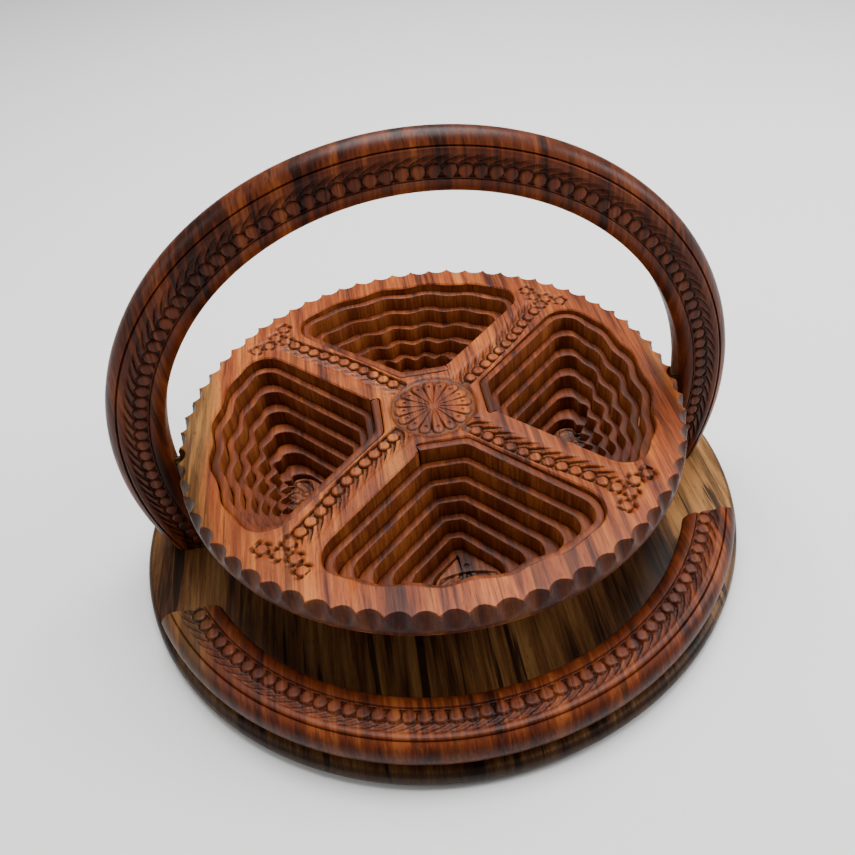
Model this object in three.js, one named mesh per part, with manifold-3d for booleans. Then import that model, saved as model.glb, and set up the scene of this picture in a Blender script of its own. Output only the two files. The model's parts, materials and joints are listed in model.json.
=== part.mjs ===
// Folding basket cut from two round boards of rosewood.
// The ring of the upper board is split on a chord: the short arc is glued to the base at the front and the
// long arc is the hoop handle. The disc inside the ring is the tray. Four wells in the tray are sawn as
// nested turns around a small floor, so each well drops open into a stepped basket.
// Units are millimetres. The origin is the middle of the base's underside, X runs along the pivot pins,
// Y points to the back and Z up. The basket stands open with its handle upright.

import * as THREE from 'three';
import Module from 'manifold-3d';
import { mergeVertices } from 'three/addons/utils/BufferGeometryUtils.js';

// ---- driving dimensions ----
const BASE_RADIUS = 150;
const BASE_THICKNESS = 8;
const BASE_MARGIN = 2.5;         // how far the base stands out past the ring

const BOARD_THICKNESS = 15;      // ring, tray, turns and floors are all cut from this board
const RING_WIDTH = 25;
const RING_EDGE_RADIUS = 7.4;    // rounding of the ring's outer edge
const RING_BEVEL_WIDTH = 4.5;    // slope on the inner edge of the carved face
const RING_BEVEL_DEPTH = 4;
const RING_BACK_CHAMFER = 1.5;
const CHORD_CUT = 1.2;           // saw cut between the handle's feet and the front arc

const TRAY_CLEARANCE = 2.7;      // between the tray and the ring around it
const TRAY_TOP_EDGE = 2.5;       // rounding of the tray's upper edge
const TRAY_LOWER_EDGE = 5;       // rounding of the tray's lower edge

const SPOKE_WIDTH = 21;          // between two neighbouring wells
const HUB_ACROSS = 53.2;         // across the middle, from one well's inner edge to the opposite one
const RIM_WIDTH = 13.9;          // from the wells to the tray's edge
const WELL_CORNER_RADIUS = 14;   // rounding of a well's two outer corners
const TURN_CORNER_RADIUS = 9;    // the least rounding that the inner turns keep
const WAVE_COUNT = 5;            // waves along the rim side of each turn
const WAVE_DEPTH = 2.2;

const TURNS = 6;
const TURN_PITCH = 4.2;          // width of one turn with its saw cut
const SAW_CUT = 0.6;
const TURN_DROP = 7.8;           // how far each turn hangs below the one outside it

const PIN_RADIUS = 2;
const PIN_CLEARANCE = 0.35;
const PIN_IN_HANDLE = 13;
const PIN_IN_TRAY = 8;

const FACE_GAP = 0.3;            // left between pieces that rest on each other

// ---- derived dimensions ----
const RING_OUTER_RADIUS = BASE_RADIUS - BASE_MARGIN;
const RING_INNER_RADIUS = RING_OUTER_RADIUS - RING_WIDTH;
const TRAY_RADIUS = RING_INNER_RADIUS - TRAY_CLEARANCE;
const TOTAL_DROP = TURNS * TURN_DROP;
const LEG_LENGTH = TOTAL_DROP + BOARD_THICKNESS / 2;     // from the pivot down to the feet
const PIVOT_HEIGHT = BASE_THICKNESS + LEG_LENGTH;
const TRAY_BOTTOM = PIVOT_HEIGHT - BOARD_THICKNESS / 2;
const FINE = 96;                                         // segments round the large pieces
const MESH_STEP = 0.1;                                   // the shortest edge drawn

const WELLS = [
  ['front', -Math.PI / 2],
  ['right', 0],
  ['back', Math.PI / 2],
  ['left', Math.PI],
];

// ---- materials ----
const wood = (color, roughness) => new THREE.MeshStandardMaterial({ color, roughness, metalness: 0 });
const baseWood = wood(0x4a3320, 0.45);
const ringWood = wood(0x5e2f1b, 0.38);
const trayWood = wood(0x8a4a26, 0.4);
const turnWood = wood(0x7a3d20, 0.42);
const floorWood = wood(0x6b3520, 0.4);
const pinMetal = new THREE.MeshStandardMaterial({ color: 0xb08d4a, roughness: 0.35, metalness: 1 });

// ---- solids that need cutting ----
const wasm = await Module();
wasm.setup();

function toSolid(geometry) {
  const bare = geometry.index ? geometry.toNonIndexed() : geometry.clone();
  bare.deleteAttribute('normal');
  bare.deleteAttribute('uv');
  const merged = mergeVertices(bare, 1e-4);
  return new wasm.Manifold(new wasm.Mesh({
    numProp: 3,
    vertProperties: new Float32Array(merged.attributes.position.array),
    triVerts: new Uint32Array(merged.index.array),
  }));
}

function toGeometry(solid) {
  const mesh = solid.getMesh();
  const geometry = new THREE.BufferGeometry();
  geometry.setAttribute('position', new THREE.BufferAttribute(new Float32Array(mesh.vertProperties), 3));
  geometry.setIndex(new THREE.BufferAttribute(new Uint32Array(mesh.triVerts), 1));
  geometry.computeVertexNormals();
  return geometry;
}

// A body of revolution about Z from a closed [radius, height] outline.
function turned(outline, segments) {
  const points = outline.map(([r, z]) => new THREE.Vector2(r, z));
  return new THREE.LatheGeometry(points, segments).rotateX(Math.PI / 2);
}

function arcPoints(radius, height, r, from, to, steps) {
  return Array.from({ length: steps + 1 }, (_, i) => {
    const a = THREE.MathUtils.degToRad(from + (to - from) * i / steps);
    return [radius + r * Math.cos(a), height + r * Math.sin(a)];
  });
}

function extruded(loop, holes, bottom, height) {
  const shape = new THREE.Shape(loop);
  shape.holes = holes.map((hole) => new THREE.Path(hole));
  const geometry = new THREE.ExtrudeGeometry(shape, { depth: height, bevelEnabled: false });
  return geometry.translate(0, 0, bottom);
}

function block(x0, x1, y0, y1, z0, z1) {
  const geometry = new THREE.BoxGeometry(x1 - x0, y1 - y0, z1 - z0);
  return geometry.translate((x0 + x1) / 2, (y0 + y1) / 2, (z0 + z1) / 2);
}

function rod(radius, x0, x1) {
  const geometry = new THREE.CylinderGeometry(radius, radius, Math.abs(x1 - x0), 16);
  return geometry.rotateZ(Math.PI / 2).translate((x0 + x1) / 2, 0, 0);
}

// ---- outline of a well ----
// The outline runs inset millimetres inside the well's wall. u points out from the tray's middle and v to
// the side: a short edge across the hub, a straight side along each spoke, and a waved side by the rim.
function wellOutline(inset, angle) {
  const fromSpoke = SPOKE_WIDTH / 2 + inset;
  const sidesMeet = fromSpoke * Math.SQRT2 + MESH_STEP;
  const innerEdge = Math.max(HUB_ACROSS / 2 + inset, sidesMeet);
  const rim = TRAY_RADIUS - RIM_WIDTH - inset;
  const roomiest = (rim * Math.SQRT1_2 - fromSpoke) / (1 + Math.SQRT1_2);
  const corner = Math.min(Math.max(WELL_CORNER_RADIUS - inset, TURN_CORNER_RADIUS), roomiest);
  const halfEdge = innerEdge - fromSpoke * Math.SQRT2;
  const reach = rim - corner;
  const cornerAngle = Math.PI / 4 - Math.asin((fromSpoke + corner) / reach);
  const cornerSweep = 3 * Math.PI / 4 - cornerAngle;
  const cornerLength = corner * cornerSweep;
  const rimLength = rim * 2 * cornerAngle;
  const length = rimLength + 2 * cornerLength;
  const still = cornerLength / 2;
  const steps = WAVE_COUNT * 4 + 4;

  const points = [new THREE.Vector2(innerEdge, halfEdge), new THREE.Vector2(innerEdge, -halfEdge)];
  for (let i = 0; i <= steps; i++) {
    const s = length * i / steps;
    let normal;
    let u;
    let v;
    if (s < cornerLength || s > length - cornerLength) {
      const side = s < cornerLength ? -1 : 1;
      const turn = (s < cornerLength ? s : length - s) / corner;
      normal = side * (3 * Math.PI / 4 - turn);
      u = reach * Math.cos(cornerAngle) + corner * Math.cos(normal);
      v = side * reach * Math.sin(cornerAngle) + corner * Math.sin(normal);
    } else {
      normal = (s - cornerLength) / rim - cornerAngle;
      u = rim * Math.cos(normal);
      v = rim * Math.sin(normal);
    }
    const along = THREE.MathUtils.clamp((s - still) / (length - 2 * still), 0, 1);
    const wave = WAVE_DEPTH / 2 * (1 - Math.cos(2 * Math.PI * WAVE_COUNT * along));
    points.push(new THREE.Vector2(u - wave * Math.cos(normal), v - wave * Math.sin(normal)));
  }
  return points.map((p) => p.rotateAround(new THREE.Vector2(), angle));
}

const object = new THREE.Group();

function add(name, geometry, material, parent = object) {
  const mesh = new THREE.Mesh(geometry, material.clone());
  mesh.name = name;
  parent.add(mesh);
  return mesh;
}

// ---- base board: a plain disc with a full round edge ----
const baseEdge = BASE_THICKNESS / 2;
add('base_board', turned([
  [0, 0],
  ...arcPoints(BASE_RADIUS - baseEdge, baseEdge, baseEdge, -90, 90, 6),
  [0, BASE_THICKNESS],
], FINE), baseWood);

// ---- the ring, lying flat with its middle at height 0 ----
const half = BOARD_THICKNESS / 2;
const ringEdge = Math.min(RING_EDGE_RADIUS, half - MESH_STEP);
const ring = toSolid(turned([
  [RING_INNER_RADIUS, half - RING_BEVEL_DEPTH],
  [RING_INNER_RADIUS, -half + RING_BACK_CHAMFER],
  [RING_INNER_RADIUS + RING_BACK_CHAMFER, -half],
  ...arcPoints(RING_OUTER_RADIUS - ringEdge, -half + ringEdge, ringEdge, -90, 0, 3),
  ...arcPoints(RING_OUTER_RADIUS - ringEdge, half - ringEdge, ringEdge, 0, 90, 3),
  [RING_INNER_RADIUS + RING_BEVEL_WIDTH, half],
  [RING_INNER_RADIUS, half - RING_BEVEL_DEPTH],
], FINE));
const reachOut = RING_OUTER_RADIUS * 2;

// ---- front arc: the part of the ring in front of the chord, glued to the base ----
const arcBottom = BASE_THICKNESS + FACE_GAP;
const arcSide = toSolid(block(
  -reachOut, reachOut, -reachOut, -LEG_LENGTH - CHORD_CUT, -BOARD_THICKNESS, BOARD_THICKNESS));
const frontArc = add('front_arc', toGeometry(ring.intersect(arcSide)), ringWood);
frontArc.position.z = arcBottom + half;

// ---- handle: the rest of the ring, swung upright on the pivot pins, standing on its two feet ----
const feet = -LEG_LENGTH + FACE_GAP;
const handleSide = toSolid(block(-reachOut, reachOut, feet, reachOut, -BOARD_THICKNESS, BOARD_THICKNESS));
const pinHoleEnd = RING_INNER_RADIUS + PIN_IN_HANDLE + FACE_GAP;
const handlePinHole = toSolid(rod(PIN_RADIUS + PIN_CLEARANCE, -pinHoleEnd, pinHoleEnd));
const handle = add('handle', toGeometry(ring.intersect(handleSide).subtract(handlePinHole)), ringWood);
handle.rotation.x = Math.PI / 2;
handle.position.z = PIVOT_HEIGHT;

// ---- tray: the disc inside the ring, with four wells and a pin hole at each side ----
const disc = toSolid(turned([
  [0, 0],
  ...arcPoints(TRAY_RADIUS - TRAY_LOWER_EDGE, TRAY_LOWER_EDGE, TRAY_LOWER_EDGE, -90, 0, 3),
  ...arcPoints(TRAY_RADIUS - TRAY_TOP_EDGE, BOARD_THICKNESS - TRAY_TOP_EDGE, TRAY_TOP_EDGE, 0, 90, 2),
  [0, BOARD_THICKNESS],
], FINE));
let trayBody = disc;
for (const [, angle] of WELLS) {
  const well = extruded(wellOutline(0, angle), [], -BOARD_THICKNESS, BOARD_THICKNESS * 3);
  trayBody = trayBody.subtract(toSolid(well));
}
for (const side of [-1, 1]) {
  const inner = side * (TRAY_RADIUS - PIN_IN_TRAY - FACE_GAP);
  const hole = rod(PIN_RADIUS + PIN_CLEARANCE, inner, side * (TRAY_RADIUS + BOARD_THICKNESS));
  trayBody = trayBody.subtract(toSolid(hole.translate(0, 0, half)));
}
add('tray', toGeometry(trayBody), trayWood).position.z = TRAY_BOTTOM;

// ---- pivot pins: one from each side of the tray into the handle ----
for (const [name, side] of [['pivot_pin_left', -1], ['pivot_pin_right', 1]]) {
  const from = side * (TRAY_RADIUS - PIN_IN_TRAY);
  const to = side * (RING_INNER_RADIUS + PIN_IN_HANDLE);
  add(name, rod(PIN_RADIUS, from, to), pinMetal).position.z = PIVOT_HEIGHT;
}

// ---- turns and floors of the four wells ----
// A turn falls by one drop from its start to its end, so each hangs at its own middle height.
for (const [well, angle] of WELLS) {
  for (let turn = 1; turn <= TURNS; turn++) {
    const outer = wellOutline((turn - 1) * TURN_PITCH + SAW_CUT, angle);
    const inner = wellOutline(turn * TURN_PITCH, angle);
    const bottom = TRAY_BOTTOM - (turn - 0.5) * TURN_DROP;
    add(`${well}_turn_${turn}`, extruded(outer, [inner], bottom, BOARD_THICKNESS), turnWood);
  }
  const outline = wellOutline(TURNS * TURN_PITCH + SAW_CUT, angle);
  const floorBottom = TRAY_BOTTOM - TOTAL_DROP + FACE_GAP;
  add(`${well}_floor`, extruded(outline, [], floorBottom, BOARD_THICKNESS - FACE_GAP), floorWood);
}

export default object;
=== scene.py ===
import json
import math

import bpy
import numpy as np
from mathutils import Matrix, Vector


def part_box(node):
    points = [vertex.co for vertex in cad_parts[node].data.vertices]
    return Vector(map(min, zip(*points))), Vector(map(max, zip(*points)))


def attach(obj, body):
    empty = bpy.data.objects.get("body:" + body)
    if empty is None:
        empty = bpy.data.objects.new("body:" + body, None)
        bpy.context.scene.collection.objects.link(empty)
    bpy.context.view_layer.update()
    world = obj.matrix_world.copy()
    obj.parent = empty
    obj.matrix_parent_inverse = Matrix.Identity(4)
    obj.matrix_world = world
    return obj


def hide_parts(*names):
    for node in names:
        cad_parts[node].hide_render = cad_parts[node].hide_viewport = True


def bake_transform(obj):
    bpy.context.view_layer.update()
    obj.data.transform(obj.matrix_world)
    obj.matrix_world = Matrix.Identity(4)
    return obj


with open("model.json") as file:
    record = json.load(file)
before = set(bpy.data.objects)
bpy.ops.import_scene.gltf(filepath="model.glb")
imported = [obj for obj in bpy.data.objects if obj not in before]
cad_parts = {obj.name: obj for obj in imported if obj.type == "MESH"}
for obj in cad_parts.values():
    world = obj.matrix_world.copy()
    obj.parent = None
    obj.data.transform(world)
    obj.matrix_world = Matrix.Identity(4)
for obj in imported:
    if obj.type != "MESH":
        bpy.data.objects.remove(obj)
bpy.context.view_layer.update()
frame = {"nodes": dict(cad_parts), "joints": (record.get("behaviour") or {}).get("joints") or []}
MM = 0.001

# ---------------------------------------------------------------------------------------------
# Studio: a pale table top, an even room, a large soft box overhead and a weaker one at each side.
# The camera looks down on the basket from the front, a little to its left.
CAMERA_AZIMUTH = -9.46
CAMERA_ELEVATION = 39.24
CAMERA_ROLL = -3.26
CAMERA_TARGET = Vector((30.52, 33.49, 60.0)) * MM
CAMERA_DISTANCE = 452.26 * MM
CAMERA_LENS = 36.59
CAMERA_SHIFT = (-0.0641, -0.0695)

azimuth, elevation = math.radians(CAMERA_AZIMUTH), math.radians(CAMERA_ELEVATION)
back = Vector((
    math.sin(azimuth) * math.cos(elevation),
    -math.cos(azimuth) * math.cos(elevation),
    math.sin(elevation),
))
level = Vector((math.cos(azimuth), math.sin(azimuth), 0))
upright = back.cross(level)
turn = Matrix.Rotation(math.radians(CAMERA_ROLL), 3, back)
axes = Matrix((turn @ level, turn @ upright, back)).transposed().to_4x4()

bpy.ops.object.select_all(action="DESELECT")
bpy.ops.object.camera_add()
camera = bpy.context.object
camera.matrix_world = Matrix.Translation(CAMERA_TARGET + back * CAMERA_DISTANCE) @ axes
camera.data.sensor_width = 36
camera.data.lens = CAMERA_LENS
camera.data.shift_x, camera.data.shift_y = CAMERA_SHIFT
camera.data.clip_start = 0.02
bpy.context.scene.camera = camera

world = bpy.data.worlds.new("room")
world.use_nodes = True
world.node_tree.nodes["Background"].inputs["Color"].default_value = (1.0, 0.985, 0.965, 1)
world.node_tree.nodes["Background"].inputs["Strength"].default_value = 0.30
bpy.context.scene.world = world


def soft_box(name, place, aim, size, power):
    bpy.ops.object.light_add(type="AREA", location=place)
    lamp = bpy.context.object
    lamp.name = name
    lamp.data.shape = "RECTANGLE"
    lamp.data.size, lamp.data.size_y = size
    lamp.data.energy = power
    lamp.rotation_euler = (Vector(aim) - Vector(place)).to_track_quat("-Z", "Y").to_euler()


soft_box("top_box", (0.12, 0.34, 1.2), (0, 0, 0.05), (1.0, 1.0), 36)
soft_box("left_box", (-0.95, -0.1, 0.6), (0, 0, 0.08), (0.35, 0.7), 2.5)
soft_box("right_box", (0.95, -0.1, 0.6), (0, 0, 0.08), (0.4, 0.6), 8)

bpy.ops.mesh.primitive_plane_add(size=6)
table = bpy.context.object
table.name = "table_top"
table.location.z = -0.0005
pale = bpy.data.materials.new("pale_table")
pale.use_nodes = True
pale.node_tree.nodes["Principled BSDF"].inputs["Base Color"].default_value = (0.74, 0.74, 0.74, 1)
pale.node_tree.nodes["Principled BSDF"].inputs["Roughness"].default_value = 0.7
table.data.materials.append(pale)

# ---------------------------------------------------------------------------------------------
# Base board: a plain turned disc of olive-brown wood with dark straight stripes that run from
# front to back, and paler wood at the right. Its edge is rounded over and it is lacquered.
base_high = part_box("base_board")[1]
BASE_SIDES = 288
BASE_ROUNDING = 0.47
BASE_PAINTED_SHADE_EDGE = 2.6 * MM

bpy.ops.object.select_all(action="DESELECT")
bpy.ops.mesh.primitive_cylinder_add(
    vertices=BASE_SIDES, radius=base_high.x - 0.02 * MM, depth=base_high.z, location=(0, 0, base_high.z / 2))
base_board = bpy.context.object
base_board.name = "base_board_round"
bpy.ops.object.transform_apply(location=True, rotation=True, scale=True)
bpy.ops.object.mode_set(mode="EDIT")
bpy.ops.mesh.select_all(action="SELECT")
bpy.ops.mesh.bevel(offset=base_high.z * BASE_ROUNDING, segments=6, affect="EDGES")
bpy.ops.object.mode_set(mode="OBJECT")
bpy.ops.object.shade_smooth_by_angle(angle=math.radians(35))


WALLS_WITHIN = 109 * MM


def wood(name, grain, tones, stripe, sapwood=None, sawn=None, sawn_below=None,
         roughness=0.36, shade=0.0, seed=0.0):
    """Lacquered wood in upright layers. grain is the axis that the fibres follow, tones run from the
    dark stripe to the palest band, sapwood is (place along X, which side, its colour), and sawn are
    the tones of the saw-cut walls, found by the mesh attribute that also carries painted shade or by
    their height. shade is how strongly that attribute lays painted shade on hollows and dark edges."""
    material = bpy.data.materials.new(name)
    material.use_nodes = True
    tree = material.node_tree
    nodes, links = tree.nodes, tree.links
    shader = nodes["Principled BSDF"]

    def node(kind, **settings):
        made = nodes.new(kind)
        for key, value in settings.items():
            setattr(made, key, value)
        return made

    def noise(source, scale, detail, distortion=0.0, rough=0.55):
        made = node("ShaderNodeTexNoise")
        made.inputs["Scale"].default_value = scale
        made.inputs["Detail"].default_value = detail
        made.inputs["Roughness"].default_value = rough
        made.inputs["Distortion"].default_value = distortion
        links.new(source, made.inputs["Vector"])
        return made.outputs["Fac"]

    def ramp(source, stops):
        made = node("ShaderNodeValToRGB")
        bar = made.color_ramp
        while len(bar.elements) < len(stops):
            bar.elements.new(0.5)
        for element, (place, colour) in zip(bar.elements, stops):
            element.position = place
            element.color = (*colour, 1)
        links.new(source, made.inputs["Fac"])
        return made.outputs["Color"]

    def mixed(factor, first, second, blend="MIX"):
        made = node("ShaderNodeMix", data_type="RGBA", blend_type=blend)
        for socket, value in ((0, factor), (6, first), (7, second)):
            if hasattr(value, "links"):
                links.new(value, made.inputs[socket])
            elif socket:
                made.inputs[socket].default_value = (*value, 1)
            else:
                made.inputs[socket].default_value = value
        return made.outputs[2]

    def ranged(source, low, high, to_low=0.0, to_high=1.0):
        made = node("ShaderNodeMapRange")
        for key, value in (("From Min", low), ("From Max", high), ("To Min", to_low), ("To Max", to_high)):
            made.inputs[key].default_value = value
        links.new(source, made.inputs["Value"])
        return made.outputs["Result"]

    def maths(operation, first, second=None):
        made = node("ShaderNodeMath", operation=operation)
        for socket, value in enumerate((first, second)):
            if value is None:
                continue
            if hasattr(value, "links"):
                links.new(value, made.inputs[socket])
            else:
                made.inputs[socket].default_value = value
        return made.outputs[0]

    place = node("ShaderNodeTexCoord").outputs["Object"]

    def along_grain(stretch):
        mapping = node("ShaderNodeMapping")
        mapping.inputs["Location"].default_value = (seed, seed * 0.7, seed * 1.3)
        layer = "Z" if grain == "Y" else "Y"
        scale = {"X": 1, grain: stretch, layer: max(stretch, 0.22)}
        mapping.inputs["Scale"].default_value = [scale[axis] for axis in "XYZ"]
        links.new(place, mapping.inputs["Vector"])
        return mapping.outputs["Vector"]

    bands = noise(along_grain(0.07), scale=95, detail=4, distortion=0.5)
    streaks = noise(along_grain(0.05), scale=420, detail=4, distortion=0.2, rough=0.65)
    fibres = noise(along_grain(0.03), scale=1100, detail=3)
    mixture = maths("ADD", maths("MULTIPLY", bands, 0.5), maths("MULTIPLY", streaks, 0.33))
    mixture = maths("ADD", mixture, maths("MULTIPLY", fibres, 0.17))
    dark, middle, pale_tone, palest = tones
    colour = ramp(mixture, [(0.41, dark), (0.465, middle), (0.53, pale_tone), (0.60, palest)])
    broad = noise(along_grain(0.25), scale=22, detail=2)
    colour = mixed(ranged(broad, 0.45, 0.7, 0.0, 0.35), colour, dark)
    if sapwood:
        edge, side, gold = sapwood
        across = node("ShaderNodeSeparateXYZ")
        links.new(place, across.inputs[0])
        wander = noise(along_grain(0.2), scale=35, detail=3)
        shifted = maths("ADD", across.outputs["X"], maths("MULTIPLY", maths("SUBTRACT", wander, 0.5), 0.03))
        near = ranged(shifted, edge - 0.003 * side, edge + 0.003 * side)
        gold_wood = ramp(mixture, [(0.43, tuple(c * 0.3 for c in gold)), (0.54, gold)])
        colour = mixed(near, colour, gold_wood)
    stripes = noise(along_grain(0.035), scale=190, detail=3, distortion=0.4)
    colour = mixed(ranged(stripes, 0.585, 0.615, 0.0, stripe), colour, tuple(c * 0.4 for c in dark))
    if sawn:
        marks_along_z = node("ShaderNodeMapping")
        marks_along_z.inputs["Scale"].default_value = (1, 1, 0.06)
        links.new(place, marks_along_z.inputs["Vector"])
        upright_place = marks_along_z.outputs["Vector"]
        fine_marks = noise(upright_place, scale=900, detail=3)
        broad_marks = noise(upright_place, scale=140, detail=3)
        marks = maths("MULTIPLY", fine_marks, 0.5)
        marks = maths("ADD", marks, maths("MULTIPLY", broad_marks, 0.5))
        wall_wood = ramp(marks, [(0.40, sawn[0]), (0.50, sawn[1]), (0.60, sawn[2])])
        if sawn_below:
            spot = node("ShaderNodeSeparateXYZ")
            links.new(place, spot.inputs[0])
            out = node("ShaderNodeVectorMath", operation="LENGTH")
            level = node("ShaderNodeVectorMath", operation="MULTIPLY")
            level.inputs[1].default_value = (1, 1, 0)
            links.new(place, level.inputs[0])
            links.new(level.outputs["Vector"], out.inputs[0])
            deep = ranged(spot.outputs["Z"], sawn_below, sawn_below - 0.0002)
            inside = ranged(out.outputs["Value"], WALLS_WITHIN, WALLS_WITHIN - 0.5 * MM)
            is_wall = maths("MULTIPLY", deep, inside)
        else:
            is_wall = node("ShaderNodeAttribute", attribute_name="carve").outputs["Fac"]
        colour = mixed(is_wall, colour, wall_wood)
    pores = noise(along_grain(0.07), scale=2400, detail=2)
    colour = mixed(ranged(pores, 0.62, 0.70, 0.0, 0.65), colour, tuple(c * 0.35 for c in dark))

    # Painted shade: the mesh attribute, scaled by shade, darkens the colour towards a near-black tone in
    # carved hollows, on rounded edges and on side faces.
    if shade:
        painted_shade_fac = node("ShaderNodeAttribute", attribute_name="carve").outputs["Fac"]
        colour = mixed(maths("MULTIPLY", painted_shade_fac, shade), colour, tuple(c * 0.3 for c in dark))
    links.new(colour, shader.inputs["Base Color"])
    links.new(ranged(pores, 0.4, 0.7, roughness, roughness + 0.16), shader.inputs["Roughness"])
    shader.inputs["Coat Weight"].default_value = 0.03
    shader.inputs["Coat Roughness"].default_value = 0.3
    shader.inputs["Specular IOR Level"].default_value = 0.15

    relief = maths("ADD", maths("MULTIPLY", pores, -0.6), maths("MULTIPLY", fibres, 0.4))
    bump = node("ShaderNodeBump")
    bump.inputs["Strength"].default_value = 0.35
    bump.inputs["Distance"].default_value = 0.0002
    links.new(relief, bump.inputs["Height"])
    links.new(bump.outputs["Normal"], shader.inputs["Normal"])
    return material


base_wood = wood(
    "striped_base_wood", "Y",
    ((0.020, 0.0070, 0.0026), (0.070, 0.026, 0.0080), (0.125, 0.052, 0.015), (0.200, 0.096, 0.029)),
    stripe=0.9, sapwood=(0.104, 1, (0.36, 0.165, 0.050)), shade=0.75, seed=3.1)
base_board.data.materials.append(base_wood)
# Painted shade: the outer 2.6 mm of the board, its rounded edge and side, is darkened in the material as the
# shade a side face gets under the top light.
painted_shade_value = base_board.data.attributes.new("carve", "FLOAT", "POINT")
for vertex, value in zip(base_board.data.vertices, painted_shade_value.data):
    value.value = 1.0 if math.hypot(vertex.co.x, vertex.co.y) > base_high.x - BASE_PAINTED_SHADE_EDGE else 0
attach(base_board, "stand")
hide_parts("base_board")

# ---------------------------------------------------------------------------------------------
# Ring: one turned hoop, carved on its upper face with a row of beads and a row of curved leaves
# between two scored lines, then sawn on a chord. The short piece is the front arc, glued to the
# base, and the long piece is the handle.
tray_low, tray_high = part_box("tray")
handle_low, handle_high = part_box("handle")
arc_low, arc_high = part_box("front_arc")
swing = next(j for j in frame["joints"] if j["name"] == "handle_swing")
pivot_height = swing["pos_m"][2]
RING_OUTER = handle_high.x
RING_HALF = (arc_high.z - arc_low.z) / 2
RING_WIDTH = 25 * MM
RING_INNER = RING_OUTER - RING_WIDTH
RING_GROUND = 1.2 * MM
BEAD_RISE = 1.08 * MM
LEAF_RISE = 1.15 * MM
ARC_COLUMNS, HANDLE_COLUMNS = 600, 1040
FOOT_CHORD = pivot_height - handle_low.z
ARC_CHORD = -arc_high.y
EDGE_ROUND = 7.4 * MM
OUTER_SCORE = RING_OUTER - 5.1 * MM
LEAF_TIP = RING_OUTER - 7.7 * MM
LEAF_FOOT = RING_OUTER - 13.0 * MM
BEAD_LINE = RING_OUTER - 15.2 * MM
BEAD_SIZE = 3.0 * MM
INNER_SCORE = RING_OUTER - 18.5 * MM
BEADS_AROUND = 134
LEAF_SWEEP = 1.7
SEAM = 0.002 * MM


def smooth(edge0, edge1, x):
    t = np.clip((x - edge0) / (edge1 - edge0), 0, 1)
    return t * t * (3 - 2 * t)


def formed_sheet(name, columns, rows, place):
    """A flat grid whose points are laid on the surface place(u, v), with a value for each point kept as a
    mesh attribute: painted shade for carved hollows and dark edges, which the ribbons later replace
    with their sawn-wall mask.
    """
    bpy.ops.object.select_all(action="DESELECT")
    bpy.ops.mesh.primitive_grid_add(x_subdivisions=columns, y_subdivisions=rows, size=1)
    piece = bpy.context.object
    piece.name = name
    flat = np.zeros(len(piece.data.vertices) * 3, np.float32)
    piece.data.vertices.foreach_get("co", flat)
    u = np.round((flat[0::3] + 0.5) * columns) / columns
    v = np.round((flat[1::3] + 0.5) * rows).astype(int)
    points, depth = place(u, v)
    piece.data.vertices.foreach_set("co", points.astype(np.float32).ravel())
    # depth here is the painted shade value, except on the ribbons, where it is later replaced by the
    # sawn-wall mask.
    carve = piece.data.attributes.new("carve", "FLOAT", "POINT")
    carve.data.foreach_set("value", np.clip(depth, 0, 1).astype(np.float32))
    return piece


def close_up(angle):
    """Merges the active sheet's seam, fills its open ends and turns its faces outwards."""
    bpy.ops.object.mode_set(mode="EDIT")
    bpy.ops.mesh.select_all(action="SELECT")
    bpy.ops.mesh.remove_doubles(threshold=SEAM)
    bpy.ops.mesh.select_all(action="DESELECT")
    bpy.ops.mesh.select_non_manifold()
    bpy.ops.mesh.fill_holes(sides=0)
    bpy.ops.mesh.select_all(action="SELECT")
    bpy.ops.mesh.normals_make_consistent(inside=False)
    bpy.ops.object.mode_set(mode="OBJECT")
    bpy.ops.object.shade_smooth_by_angle(angle=math.radians(angle))


def groove(distance, width, depth):
    return depth * np.clip(1 - np.abs(distance) / (width / 2), 0, 1)


def bead(distance, size):
    """Height of a flat-topped bead over its ground, from 0 outside it to 1 on its top."""
    return np.sqrt(np.clip(1 - (distance / size) ** 7, 0, 1))


def leaf_row(phase, rise):
    """Curved leaves that overlap like scales: each rises steeply from a cut and falls to the next.
    rise runs from 0 at their feet to 1 at their tips, and phase counts the leaves along the row."""
    f = (phase + LEAF_SWEEP * rise ** 1.7) % 1
    steep = smooth(0.0, 0.20, f)
    vein = groove(f - 0.62, 0.16, 0.22)
    return steep * (1 - 0.62 * np.clip((f - 0.2) / 0.8, 0, 1)) - vein * steep


def ring_cut(theta, r):
    """Depth of the carving below the ring's flat face, in metres."""
    a = theta / (2 * math.pi) * BEADS_AROUND
    along = (a - np.round(a)) * 2 * math.pi / BEADS_AROUND * BEAD_LINE
    from_bead = np.hypot(along, r - BEAD_LINE)
    crown = bead(from_bead, BEAD_SIZE)
    rise = np.clip((r - LEAF_FOOT) / (LEAF_TIP - LEAF_FOOT), 0, 1)
    leaves = leaf_row(a + 0.5, rise) * smooth(BEAD_SIZE - 0.1 * MM, BEAD_SIZE + 0.8 * MM, from_bead)
    depth = RING_GROUND - BEAD_RISE * crown
    in_leaves = smooth(LEAF_FOOT - 0.6 * MM, LEAF_FOOT + 0.4 * MM, r)
    leaf_depth = RING_GROUND - LEAF_RISE * leaves
    depth = np.minimum(depth, depth * (1 - in_leaves) + leaf_depth * in_leaves)
    fade_out = smooth(LEAF_TIP, LEAF_TIP - 1.6 * MM, r)
    fade_in = smooth(INNER_SCORE + 0.2 * MM, INNER_SCORE + 0.9 * MM, r)
    depth = depth * fade_out * fade_in
    scores = groove(r - OUTER_SCORE, 1.1 * MM, 0.9 * MM) + groove(r - INNER_SCORE, 1.0 * MM, 0.8 * MM)
    return depth + scores


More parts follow.
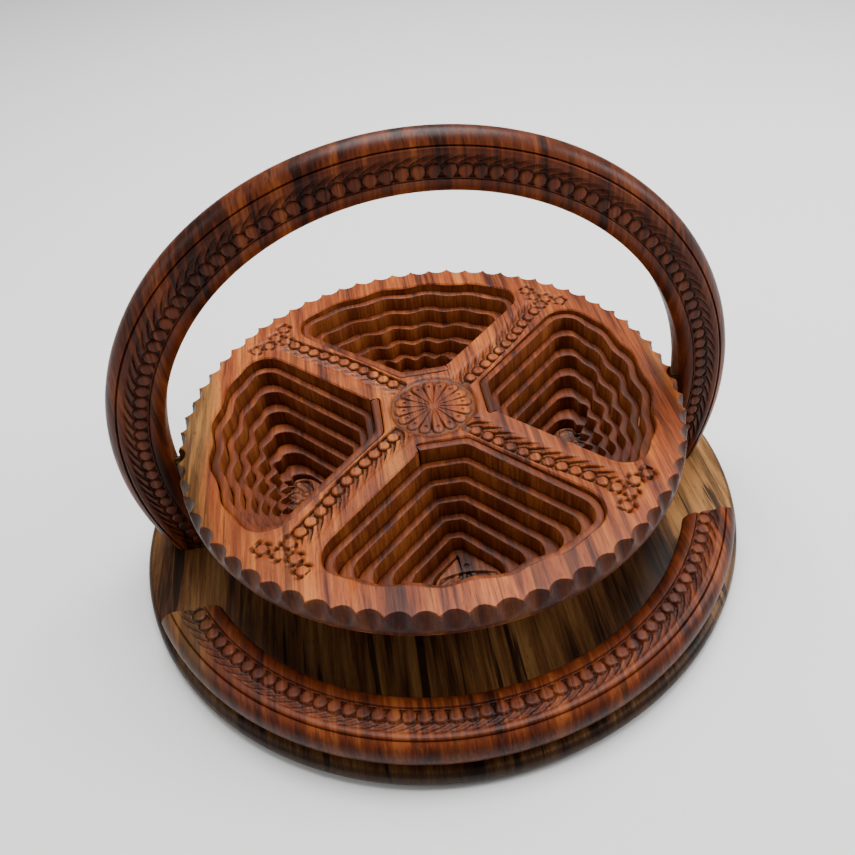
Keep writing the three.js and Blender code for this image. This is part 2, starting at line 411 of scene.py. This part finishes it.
def ring_section():
    """Points round the hoop's section, from the foot of the inner wall over the carved face."""
    wall = [(RING_INNER, z) for z in np.linspace(-RING_HALF + 1.5 * MM, RING_HALF - 4.2 * MM, 4)]
    slope = [
        (RING_INNER + (INNER_SCORE - RING_INNER - 0.6 * MM) * (1 - math.cos(a)),
         RING_HALF - 4.2 * MM + 4.2 * MM * math.sin(a))
        for a in np.linspace(0.12, math.pi / 2, 8)]
    face_radii = np.concatenate([
        np.linspace(INNER_SCORE - 0.5 * MM, INNER_SCORE + 0.5 * MM, 5),
        np.linspace(INNER_SCORE + 0.85 * MM, LEAF_TIP, 27),
        np.linspace(LEAF_TIP + 0.5 * MM, OUTER_SCORE - 0.6 * MM, 3),
        np.linspace(OUTER_SCORE - 0.4 * MM, OUTER_SCORE + 0.4 * MM, 5),
    ])
    centre = RING_OUTER - EDGE_ROUND
    face = []
    for r in face_radii:
        over = max(0.0, r - centre)
        face.append((r, RING_HALF - EDGE_ROUND + math.sqrt(EDGE_ROUND ** 2 - over ** 2)))
    start = math.acos((OUTER_SCORE + 0.6 * MM - centre) / EDGE_ROUND)
    edge = [(centre + EDGE_ROUND * math.cos(a), RING_HALF - EDGE_ROUND + EDGE_ROUND * math.sin(a))
            for a in np.linspace(start, 0, 9)]
    under = [(centre + EDGE_ROUND * math.cos(a), -RING_HALF + EDGE_ROUND + EDGE_ROUND * math.sin(a))
             for a in np.linspace(0, -math.pi / 2, 8)]
    back_face = [(r, -RING_HALF) for r in np.linspace(centre - 3 * MM, RING_INNER + 1.5 * MM, 4)]
    points = wall + slope + face + edge + under[1:] + back_face
    return np.array(points + points[:1])


def hoop_piece(name, columns, from_chord, sweep_sign, stand):
    """A length of the hoop between its two chord cuts. stand moves the flat ring's points to its place."""
    section = ring_section()

    def place(u, v):
        r, z = section[v, 0], section[v, 1]
        cut = np.arcsin(from_chord / r)
        if sweep_sign > 0:
            theta = -cut + (math.pi + 2 * cut) * u
        else:
            theta = math.pi + cut + (math.pi - 2 * cut) * u
        depth = np.where(z > RING_HALF - 1.2 * MM, ring_cut(theta, r), 0)
        # Painted shade: the carving's hollows darken with their depth, and the ring's outer rounding is
        # darkened as a shaded side.
        edge = 0.6 * smooth(RING_OUTER - 4.5 * MM, RING_OUTER - 0.8 * MM, r)
        points = stand(np.stack([r * np.cos(theta), r * np.sin(theta), z - depth], 1))
        return points, np.maximum((depth - 0.2 * MM) / (0.75 * MM), edge)

    piece = formed_sheet(name, columns, len(section) - 1, place)
    close_up(50)
    return piece


front_arc = hoop_piece(
    "carved_front_arc", ARC_COLUMNS, ARC_CHORD, -1,
    lambda p: p + np.array([0, 0, arc_low.z + RING_HALF]))
handle = hoop_piece(
    "carved_handle", HANDLE_COLUMNS, FOOT_CHORD, 1,
    lambda p: np.stack([p[:, 0], -p[:, 2], p[:, 1] + pivot_height], 1))

RING_TONES = ((0.022, 0.005, 0.0021), (0.078, 0.0145, 0.0038), (0.136, 0.027, 0.0060), (0.225, 0.057, 0.013))
arc_wood = wood(
    "red_arc_wood", "Y", RING_TONES, stripe=0.5, shade=0.75, seed=7.7,
    sapwood=(-0.112, -1, (0.17, 0.070, 0.020)))
handle_wood = wood("red_handle_wood", "Z", RING_TONES, stripe=0.6, shade=0.75, seed=1.9)
front_arc.data.materials.append(arc_wood)
handle.data.materials.append(handle_wood)
for piece, body, node in ((front_arc, "stand", "front_arc"), (handle, "handle", "handle")):
    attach(piece, body)
    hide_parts(node)

# ---------------------------------------------------------------------------------------------
# Spiral ribbons: each well is one long saw cut that winds six times inwards, so the wood between
# the cuts hangs as a ribbon and sinks by one step at each time round. It is waved by the rim.
WELLS = {"front": -90, "right": 0, "back": 90, "left": 180}
TURNS = 6
turn_1_low, turn_1_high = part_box("right_turn_1")
turn_2_low, turn_2_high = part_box("right_turn_2")
TURN_DROP = turn_1_high.z - turn_2_high.z
TURN_PITCH = turn_2_low.x - turn_1_low.x
SAW_CUT = 0.6 * MM
HUB_HALF = turn_1_low.x - SAW_CUT
SPOKE_HALF = 10.5 * MM
WELL_RIM = tray_high.x - 13.9 * MM
OUTER_CORNER = 14 * MM
TURN_CORNER = 9 * MM
WAVES = 5
SIDES = (0.0, 0.05, 0.27, 0.78, 1.0)
COLUMNS_PER_TURN = 230
LEDGE_EDGE = 0.3 * MM


def well_point(inset, t):
    """A point of a well's outline, inset from its wall. t runs once round: across the hub, out
    along one spoke, back along the rim and in along the other spoke."""
    t = t % 1
    from_spoke = SPOKE_HALF + inset
    hub = HUB_HALF + inset
    corner = np.maximum(OUTER_CORNER - inset, TURN_CORNER)
    rim = WELL_RIM - inset
    reach = rim - corner
    corner_angle = math.pi / 4 - np.arcsin((from_spoke + corner) / reach)
    half_edge = np.maximum(hub - from_spoke * math.sqrt(2), 0.1 * MM)
    tangent_u = reach * np.cos(corner_angle) - corner / math.sqrt(2)
    tangent_v = reach * np.sin(corner_angle) + corner / math.sqrt(2)

    across = (t - SIDES[0]) / (SIDES[1] - SIDES[0])
    u, v = hub + 0 * t, half_edge * (2 * across - 1)
    out = (t - SIDES[1]) / (SIDES[2] - SIDES[1])
    chosen = t >= SIDES[1]
    u = np.where(chosen, hub + (tangent_u - hub) * out, u)
    v = np.where(chosen, half_edge + (tangent_v - half_edge) * out, v)

    sweep = 3 * math.pi / 4 - corner_angle
    corner_length = corner * sweep
    length = rim * 2 * corner_angle + 2 * corner_length
    s = np.clip((t - SIDES[2]) / (SIDES[3] - SIDES[2]), 0, 1) * length
    side = np.where(s < length / 2, 1, -1)
    end = np.minimum(s, length - s)
    bend = side * (3 * math.pi / 4 - np.minimum(end, corner_length) / corner)
    on_corner = end < corner_length
    straight = corner_angle - (s - corner_length) / rim
    normal = np.where(on_corner, bend, straight)
    ru = np.where(on_corner, reach * np.cos(corner_angle) + corner * np.cos(normal), rim * np.cos(normal))
    rv = np.where(
        on_corner, side * reach * np.sin(corner_angle) + corner * np.sin(normal), rim * np.sin(normal))
    still = corner_length / 2
    along = np.clip((s - still) / (length - 2 * still), 0, 1)
    depth = (2.0 + 80 * inset) * MM * (0.45 + 0.55 * np.sin(math.pi * along))
    wave = depth / 2 * (1 - np.cos(2 * math.pi * WAVES * along))
    chosen = (t >= SIDES[2]) & (t < SIDES[3])
    u = np.where(chosen, ru - wave * np.cos(normal), u)
    v = np.where(chosen, rv - wave * np.sin(normal), v)

    inwards = (t - SIDES[3]) / (SIDES[4] - SIDES[3])
    chosen = t >= SIDES[3]
    u = np.where(chosen, tangent_u + (hub - tangent_u) * inwards, u)
    v = np.where(chosen, -tangent_v + (tangent_v - half_edge) * inwards, v)
    return u, v


def spiral(s, extra=0.0):
    """The saw cut's line after s times round, moved sideways by extra, with its corners eased."""
    u, v = 0, 0
    eases = np.linspace(-0.005, 0.005, 5)
    for ease in eases:
        du, dv = well_point((s + ease - 0.5) * TURN_PITCH + extra, s + ease)
        u, v = u + du / len(eases), v + dv / len(eases)
    return u, v


def turned_to(u, v, degrees):
    a = math.radians(degrees)
    return u * math.cos(a) - v * math.sin(a), u * math.sin(a) + v * math.cos(a)


ribbon_height = tray_high.z - tray_low.z
ribbon_width = TURN_PITCH - SAW_CUT
RIBBON_SECTION = np.array([
    (0.0, 0.0), (0.0, 0.5), (0.0, 0.975), (0.08, 0.992), (0.30, 1.0), (0.60, 1.0),
    (0.86, 0.995), (0.96, 0.985), (1.0, 0.965), (1.0, 0.5), (1.0, 0.0), (0.0, 0.0)])
TURN_TONES = ((0.030, 0.006, 0.0022), (0.082, 0.015, 0.0033), (0.130, 0.026, 0.005), (0.200, 0.047, 0.009))
SAWN_TONES = ((0.104, 0.022, 0.0065), (0.172, 0.044, 0.0105), (0.250, 0.074, 0.017))
turn_wood = wood("sawn_turn_wood", "Y", TURN_TONES, stripe=0.35, sawn=SAWN_TONES, roughness=0.42, seed=5.3)

for well, heading in WELLS.items():
    for layer in range(TURNS + 1):
        start, end = max(layer - 0.5, 0), min(layer + 0.5, TURNS)
        columns = round((end - start) * COLUMNS_PER_TURN)

        def place(u, v):
            s = start + (end - start) * u
            share, rise = RIBBON_SECTION[v, 0], RIBBON_SECTION[v, 1]
            x, y = turned_to(*spiral(s, SAW_CUT + ribbon_width * share), heading)
            z = tray_low.z - TURN_DROP * s + ribbon_height * rise
            return np.stack([x, y, z], 1), s - start

        ribbon = formed_sheet(f"{well}_ribbon_{layer}", columns, len(RIBBON_SECTION) - 1, place)
        close_up(35)
        ribbon.data.materials.append(turn_wood)
        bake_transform(ribbon)
        share = np.zeros(len(ribbon.data.vertices), np.float32)
        ribbon.data.attributes["carve"].data.foreach_get("value", share)
        height = np.zeros(len(share) * 3, np.float32)
        ribbon.data.vertices.foreach_get("co", height)
        below = tray_high.z - TURN_DROP * (share + start) - height[2::3]
        ribbon.data.attributes["carve"].data.foreach_set("value", (below > LEDGE_EDGE).astype(np.float32))
        if layer:
            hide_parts(f"{well}_turn_{layer}")

# ---------------------------------------------------------------------------------------------
# Tray: a turned disc whose upper edge is gouged all round into small scallops. Four wells are
# cut through it, and the spokes and the hub between them are carved below its flat top.
TRAY_RADIUS = tray_high.x
GOUGES = 70
COLUMNS_PER_GOUGE = 12
GOUGE_RADIUS = 6.4 * MM
GOUGE_IN, GOUGE_DOWN = 3.6 * MM, 7.8 * MM
TOP_ROUND = 0.9 * MM
LOWER_ROUND = 6.5 * MM


def tray_profile():
    """[radius, height] from the flat top, round the tray's edge and to its flat bottom."""
    rows = [(TRAY_RADIUS - 5.8 * MM, tray_high.z)]
    rows += [(r, tray_high.z) for r in np.linspace(TRAY_RADIUS - 4.6 * MM, TRAY_RADIUS - TOP_ROUND, 8)]
    for a in (60, 30, 0):
        c, s = math.cos(math.radians(a)), math.sin(math.radians(a))
        rows.append((TRAY_RADIUS - TOP_ROUND * (1 - c), tray_high.z - TOP_ROUND * (1 - s)))
    for z in np.linspace(tray_high.z - TOP_ROUND - 0.6 * MM, tray_low.z + LOWER_ROUND, 11):
        rows.append((TRAY_RADIUS, z))
    for a in np.linspace(-12, -90, 7):
        c, s = math.cos(math.radians(a)), math.sin(math.radians(a))
        rows.append((TRAY_RADIUS - LOWER_ROUND * (1 - c), tray_low.z + LOWER_ROUND * (1 + s)))
    rows.append((TRAY_RADIUS - LOWER_ROUND - 1 * MM, tray_low.z))
    return np.array(rows)


profile = tray_profile()


def tray_place(u, v):
    """Each gouge is part of a cylinder that leans out from the top face to the side wall. The second
    value is painted shade: dark in the gouges' hollows and on the side wall and its roundings.
    """
    r, z = profile[v].T
    count = u * GOUGES
    which = np.floor(count)
    sway = np.sin(which % GOUGES * 2.4)
    x = (count - which - 0.5 + 0.03 * sway) * 2 * math.pi / GOUGES * TRAY_RADIUS
    length = math.hypot(GOUGE_IN, GOUGE_DOWN)
    across = np.array([-GOUGE_DOWN, -GOUGE_IN]) / length
    depth = (r - TRAY_RADIUS + GOUGE_IN) * across[0] + (z - tray_high.z) * across[1]
    bite = GOUGE_RADIUS - np.sqrt(GOUGE_RADIUS ** 2 - x ** 2) - (0.15 + 0.15 * sway) * MM
    scoop = np.where(r > 100 * MM, np.clip(-bite - depth, 0, None), 0)
    # Painted shade on the side wall and its roundings, and below in the gouges' hollows.
    edge = 0.9 * smooth(TRAY_RADIUS - 0.8 * MM, TRAY_RADIUS, r)
    r, z = r + across[0] * scoop, z + across[1] * scoop
    theta = 2 * math.pi * u
    painted_shade_value = np.maximum(smooth(0, 0.9 * MM, scoop) * 0.8, edge)
    return np.stack([r * np.cos(theta), r * np.sin(theta), z], 1), painted_shade_value


tray = formed_sheet("carved_tray", GOUGES * COLUMNS_PER_GOUGE, len(profile) - 1, tray_place)
close_up(30)


def cutter(name, loops):
    """A closed solid through level outlines, given as (x, y, height) from the lowest to the highest."""
    count = len(loops[0][0])
    points = [(x, y, z) for xs, ys, z in loops for x, y in zip(xs, ys)]
    faces = [tuple(range(count))[::-1], tuple(range(len(points) - count, len(points)))]
    for level_index in range(len(loops) - 1):
        low = level_index * count
        for i in range(count):
            j = (i + 1) % count
            faces.append((low + i, low + j, low + count + j, low + count + i))
    mesh = bpy.data.meshes.new(name)
    mesh.from_pydata(points, [], faces)
    solid = bpy.data.objects.new(name, mesh)
    bpy.context.scene.collection.objects.link(solid)
    bpy.ops.object.select_all(action="DESELECT")
    bpy.context.view_layer.objects.active = solid
    solid.select_set(True)
    bpy.ops.object.mode_set(mode="EDIT")
    bpy.ops.mesh.select_all(action="SELECT")
    bpy.ops.mesh.normals_make_consistent(inside=False)
    bpy.ops.object.mode_set(mode="OBJECT")
    return solid


def cut_away(piece, solid):
    bpy.ops.object.select_all(action="DESELECT")
    bpy.context.view_layer.objects.active = piece
    piece.select_set(True)
    modifier = piece.modifiers.new("cut", "BOOLEAN")
    modifier.operation = "DIFFERENCE"
    modifier.solver = "EXACT"
    modifier.object = solid
    bpy.ops.object.modifier_apply(modifier=modifier.name)
    bpy.data.objects.remove(solid)


top = tray_high.z
EASE = 0.7 * MM
POCKET = 2.4 * MM
SUNK = 1 * MM
SKIN = 0.01 * MM
CUT_ABOVE = 1 * MM
for well, heading in WELLS.items():
    round_once = np.linspace(0, 1, 321)[:-1] + 1e-4
    cut_line = turned_to(*spiral(round_once), heading)
    fade = smooth(0, 0.01, round_once) * smooth(1, 0.99, round_once)
    eased_line = turned_to(*spiral(round_once, -(EASE + 0.1 * MM) * fade), heading)
    cut_away(tray, cutter("well_cut", [
        (*cut_line, tray_low.z - 5 * MM), (*cut_line, top - EASE), (*eased_line, top + 0.1 * MM)]))

# Carving of the spokes: a row of beads on one side and a row of leaves on the other run out from
# the hub, and end in a spray of berries by the rim. The ground is cut down below the tray's top.
HUB_CARVE = 22.6 * MM
SPOKE_START = 21 * MM
CARVE_END = 112 * MM
SPOKE_PITCH = 6.45 * MM
SPOKE_BEAD = 2.85 * MM
SPOKE_BEADS = 11
FIRST_BEAD = 27.1 * MM
BEAD_OUT = np.array([20, 27, 45, 60, 70, 80, 95]) * MM
BEAD_SIDE = np.array([-3.3, -3.4, -4.2, -4.1, -3.2, -2.0, -1.6]) * MM
LEAF_WIDTH = 7.4 * MM
BERRIES = np.array([[103.2, 6.0], [106.0, 12.6], [98.4, -1.6], [104.9, -0.8], [106.8, -9.0]]) * MM
BERRY = 2.8 * MM
GROUND = 1.9 * MM
PETALS = 16
PETAL_VALLEY = 14.6 * MM
PETAL_TIP = 4.4 * MM


def spoke_side(a):
    """How far the uncut wood reaches to the side of the spoke's middle, a out from the tray's centre."""
    corner_at, corner_off, corner = 88.7 * MM, 24.4 * MM, 16 * MM
    over = np.clip(a - corner_at, 0, corner * 0.999)
    return np.where(a > corner_at, corner_off - np.sqrt(corner ** 2 - over ** 2), 8.4 * MM)


def spoke_depth(a, n):
    """Depth of the carving at a along a spoke and n to its side."""
    number = np.clip(np.round((a - FIRST_BEAD) / SPOKE_PITCH), 0, SPOKE_BEADS - 1)
    middle = FIRST_BEAD + number * SPOKE_PITCH
    from_bead = np.hypot(a - middle, n - np.interp(middle, BEAD_OUT, BEAD_SIDE))
    crown = bead(from_bead, SPOKE_BEAD)
    line = np.interp(a, BEAD_OUT, BEAD_SIDE)
    off = n - line
    rise = np.clip((off - 1.5 * MM) / LEAF_WIDTH, 0, 1.3)
    leaves = leaf_row((FIRST_BEAD - a) / SPOKE_PITCH + 0.25, rise)
    leaves = 1 - (1 - leaves) * smooth(1.05, 0.5, rise)
    leaves = leaves * smooth(0.8 * MM, 2.0 * MM, off)
    leaves = leaves * smooth(SPOKE_BEAD, SPOKE_BEAD + 0.9 * MM, from_bead)
    strip = smooth(-3.7 * MM, -2.7 * MM, off) * smooth(LEAF_WIDTH + 1.8 * MM, LEAF_WIDTH + 0.6 * MM, off)
    strip = strip * smooth(19.5 * MM, 22 * MM, a) * smooth(99 * MM, 93 * MM, a)
    depth = strip * (GROUND - (GROUND - 0.12 * MM) * np.maximum(crown, leaves))
    for out, side in BERRIES:
        gap = np.hypot(a - out, n - side)
        around = smooth(BERRY + 2.6 * MM, BERRY + 0.3 * MM, gap)
        bearing = np.arctan2(n - side, a - out)
        fringe = 0.55 + 0.45 * np.cos(5 * bearing + gap / (0.9 * MM))
        sunk = GROUND * around * np.where(gap > BERRY, fringe, 1)
        sunk = sunk - (GROUND - 0.2 * MM) * bead(gap, BERRY) * around
        depth = np.where(gap < BERRY + 0.3 * MM, sunk, np.maximum(depth, sunk))
    return depth


def hub_depth(x, y):
    """Depth of the carving in the middle: a flower on a ground that rises again towards the wells."""
    r = np.hypot(x, y)
    turn_share = np.arctan2(y, x) / (2 * math.pi) * PETALS
    off = (turn_share - np.round(turn_share)) * 2
    tip = PETAL_VALLEY + PETAL_TIP * np.clip(1 - off ** 2, 0, 1) ** 0.45
    valley = r * (1 - np.abs(off)) * math.pi / PETALS
    lines = 0.4 * MM * smooth(0.45 * MM, 0.0, valley) * smooth(1 * MM, 4 * MM, r)
    lines = lines + 0.6 * MM * smooth(0.9 * MM, 0.0, valley) * smooth(9 * MM, 14 * MM, r)
    eye = 0.7 * MM * smooth(0.9 * MM, 0.5 * MM, np.hypot(r - 14.4 * MM, off * r * math.pi / PETALS))
    petal = 0.25 * MM + lines + eye + 0.5 * MM * smooth(tip - 2.5 * MM, tip, r)
    inside = smooth(0.1 * MM, -0.6 * MM, r - tip)
    ground = 1.3 * MM * smooth(HUB_CARVE, HUB_CARVE - 3.2 * MM, r)
    return petal * inside + ground * (1 - inside)


def carved_depth(x, y):
    depth = hub_depth(x, y)
    for index in range(4):
        a, n = turned_to(x, y, -45 - 90 * index)
        if np.any(a > 0):
            depth = np.maximum(depth, np.where((a > 19 * MM) & (np.abs(n) < 17 * MM), spoke_depth(a, n), 0))
    return depth


def spoke_point(out, across, heading, inner=HUB_CARVE):
    """A point of a spoke's carved field, from the hub's circle out to where the wells' corners give way."""
    a = SPOKE_START + (CARVE_END - SPOKE_START) * out
    wide = spoke_side(a)
    low, high = -np.minimum(wide - 0.9 * MM, 13 * MM), np.minimum(wide + 0.9 * MM, 16 * MM)
    n = low + (high - low) * across
    start = np.sqrt(inner ** 2 - n ** 2)
    a = start * (1 - out) + CARVE_END * out
    return turned_to(a, n, heading)


def carved_sheet(x, y, edge):
    """Points of a carved field, which drops to the floor of its pocket along its edge, with painted
    shade that darkens the carving with its depth and most on steep flanks.
    """
    depth = carved_depth(x, y)
    nudge = 0.15 * MM
    slope = np.hypot(carved_depth(x + nudge, y) - depth, carved_depth(x, y + nudge) - depth) / nudge
    # Painted shade: deeper and steeper carving is darker.
    painted_crevice_shade = smooth(0.2 * MM, 1.2 * MM, depth) * (0.5 + 0.5 * smooth(0.2, 1.4, slope))
    return np.stack([x, y, top - np.where(edge, POCKET + SUNK, depth + SKIN)], 1), painted_crevice_shade


SPOKE_COLUMNS, SPOKE_ROWS = 230, 46
CUT_OVERLAP = 0.6 * MM
along_spoke = np.linspace(0, 1, 116)
carvings = []
for index in range(4):
    heading = 45 + 90 * index
    outline = np.concatenate([
        spoke_point(along_spoke, 0 * along_spoke, heading, HUB_CARVE - CUT_OVERLAP),
        spoke_point(along_spoke[::-1], 0 * along_spoke + 1, heading, HUB_CARVE - CUT_OVERLAP)], 1)
    cut_away(tray, cutter("spoke_cut", [(*outline, top - POCKET), (*outline, top + CUT_ABOVE)]))

    def place(u, v):
        share = np.clip((v - 1) / (SPOKE_ROWS - 2), 0, 1)
        out = np.clip((u * SPOKE_COLUMNS - 1) / (SPOKE_COLUMNS - 2), 0, 1)
        x, y = spoke_point(out, share, heading)
        return carved_sheet(x, y, (v == 0) | (v == SPOKE_ROWS) | (u == 0) | (u == 1))

    carving = formed_sheet(f"spoke_carving_{index}", SPOKE_COLUMNS, SPOKE_ROWS, place)
    close_up(60)
    carvings.append(carving)

# The flower in the middle of the tray is one round field of the same carving.
HUB_ROWS = 54
hub_angle = np.linspace(0, 2 * math.pi, 321)[:-1]


def hub_place(u, v):
    r = HUB_CARVE * np.clip(v / (HUB_ROWS - 1), 0, 1)
    x, y = r * np.cos(2 * math.pi * u), r * np.sin(2 * math.pi * u)
    return carved_sheet(x, y, v == HUB_ROWS)


hub_outline = (HUB_CARVE * np.cos(hub_angle), HUB_CARVE * np.sin(hub_angle))
hub_floor = top - POCKET - CUT_OVERLAP / 2
cut_away(tray, cutter("hub_cut", [(*hub_outline, hub_floor), (*hub_outline, top + CUT_ABOVE)]))
hub_carving = formed_sheet("hub_carving", 320, HUB_ROWS, hub_place)
close_up(60)
carvings.append(hub_carving)

bpy.ops.object.select_all(action="DESELECT")
for carving in carvings:
    carving.select_set(True)
tray.select_set(True)
bpy.context.view_layer.objects.active = tray
bpy.ops.object.join()
bpy.ops.object.shade_smooth_by_angle(angle=math.radians(42))

TRAY_TONES = ((0.050, 0.0100, 0.004), (0.165, 0.033, 0.0075), (0.275, 0.063, 0.012), (0.420, 0.125, 0.023))
tray_wood = wood(
    "carved_tray_wood", "Y", TRAY_TONES, stripe=0.55, shade=0.85, seed=2.9,
    sawn=SAWN_TONES, sawn_below=top - EASE - 0.1 * MM,
    sapwood=(-0.104, -1, (0.25, 0.105, 0.024)))
tray.data.materials.append(tray_wood)
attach(tray, "stand")
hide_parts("tray")

# ---------------------------------------------------------------------------------------------
# Well floors: the tongue left in the middle of each spiral, flush with the ribbon's last turn and
# carved with a sprig of berries between leaves. It is glossy, and rests on the base.
floor_low, floor_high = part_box("right_floor")
FLOOR_COLUMNS, FLOOR_ROWS = 300, 60
FLOOR_CLOSE = 0.99
FLOOR_GROUND = 1.7 * MM
FLOOR_BERRY_RISE = 1.55 * MM
FLOOR_STROKE_RISE = 0.7 * MM
FLOOR_WALL = 6 * MM
floor_middle = (floor_low.x + floor_high.x) / 2 + 1.5 * MM
FLOOR_BERRIES = np.array([
    [1.0, -3.2, 2.5], [1.4, 3.4, 2.4], [6.2, 0.2, 2.6], [6.4, -6.6, 2.2], [6.6, 6.9, 2.2]]) * MM
FLOOR_EYE = (-7.0 * MM, 2.3 * MM)
FLOOR_STEP = -3.6 * MM


def floor_depth(u, v, rim):
    """Depth of a tongue's carving, rim in from its edge: a plain tip with a drilled eye, then a
    step down to berries, each with its own eye, among leaf cuts."""
    crown = np.zeros_like(u)
    eyes = smooth(1.2 * MM, 0.8 * MM, np.hypot(u - FLOOR_EYE[0], v - FLOOR_EYE[1]))
    for out, side, size in FLOOR_BERRIES:
        gap = np.hypot(u - out, v - side)
        crown = np.maximum(crown, np.sqrt(np.clip(1 - (gap / size) ** 2, 0, 1)))
        eyes = np.maximum(eyes, 0.6 * smooth(0.7 * MM, 0.4 * MM, gap))
    strokes = smooth(-0.5, 0.5, np.cos(12 * np.arctan2(v, u + 9 * MM) + u / (2.4 * MM)))
    sunk = smooth(0, 0.7 * MM, u - FLOOR_STEP - 14 * v ** 2) * smooth(1.3 * MM, 2.2 * MM, rim)
    depth = sunk * (FLOOR_GROUND - np.maximum(FLOOR_BERRY_RISE * crown, FLOOR_STROKE_RISE * strokes))
    return depth + 0.9 * MM * eyes + 0.5 * MM * smooth(0.7 * MM, 0, rim)


def floor_place(heading):
    def place(u, v):
        s = TURNS - 1 + np.clip(u / FLOOR_CLOSE, 0, 1) * 0.9999
        edge_u, edge_v = spiral(s, TURN_PITCH + SAW_CUT)
        start_u, start_v = spiral(np.array([TURNS - 1.0]), TURN_PITCH + SAW_CUT)
        closing = np.clip((u - FLOOR_CLOSE) / (1 - FLOOR_CLOSE), 0, 1)
        edge_u = edge_u + (start_u - edge_u) * closing
        edge_v = edge_v + (start_v - edge_v) * closing
        share = np.clip(v / (FLOOR_ROWS - 4), 0, 1)
        pu = (edge_u - floor_middle) * share
        pv = edge_v * share
        depth = floor_depth(pu, pv, np.hypot(edge_u - floor_middle, edge_v) * (1 - share))
        z = floor_high.z - depth
        z = np.where(v == FLOOR_ROWS - 2, floor_high.z - FLOOR_WALL, z)
        z = np.where(v >= FLOOR_ROWS - 1, floor_low.z, z)
        pu = np.where(v == FLOOR_ROWS, 0, pu)
        pv = np.where(v == FLOOR_ROWS, 0, pv)
        x, y = turned_to(pu + floor_middle, pv, heading)
        # The second value is painted shade: the carving's hollows darken with their depth.
        return np.stack([x, y, z], 1), (depth - 0.6 * MM) / (1.3 * MM)
    return place


floor_wood = wood(
    "glossy_floor_wood", "Y",
    ((0.020, 0.005, 0.003), (0.080, 0.020, 0.008), (0.160, 0.042, 0.014), (0.260, 0.085, 0.028)),
    stripe=0.4, shade=0.6, roughness=0.32, seed=9.4)
for well, heading in WELLS.items():
    tongue = formed_sheet(f"{well}_tongue", FLOOR_COLUMNS, FLOOR_ROWS, floor_place(heading))
    close_up(45)
    tongue.data.materials.append(floor_wood)
    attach(tongue, "floors")
    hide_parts(f"{well}_floor")

# ---------------------------------------------------------------------------------------------
# Pivot pins: two short brass rods that join the handle to the tray. Only a sliver of each shows,
# and their brass is painted a near-black brown, a painted shade that keeps the slivers from glinting.
brass = bpy.data.materials.new("worn_brass")
brass.use_nodes = True
brass_shader = brass.node_tree.nodes["Principled BSDF"]
brass_shader.inputs["Metallic"].default_value = 1
brass_mottle = brass.node_tree.nodes.new("ShaderNodeTexNoise")
brass_mottle.inputs["Scale"].default_value = 900
brass_place = brass.node_tree.nodes.new("ShaderNodeTexCoord")
brass.node_tree.links.new(brass_place.outputs["Object"], brass_mottle.inputs["Vector"])
brass_tone = brass.node_tree.nodes.new("ShaderNodeValToRGB")
brass_tone.color_ramp.elements[0].color = (0.040, 0.022, 0.009, 1)
brass_tone.color_ramp.elements[1].color = (0.110, 0.065, 0.026, 1)
brass.node_tree.links.new(brass_mottle.outputs["Fac"], brass_tone.inputs["Fac"])
brass.node_tree.links.new(brass_tone.outputs["Color"], brass_shader.inputs["Base Color"])
brass_shader.inputs["Roughness"].default_value = 0.35
for pin in ("pivot_pin_left", "pivot_pin_right"):
    frame["nodes"][pin].data.materials.clear()
    frame["nodes"][pin].data.materials.append(brass)
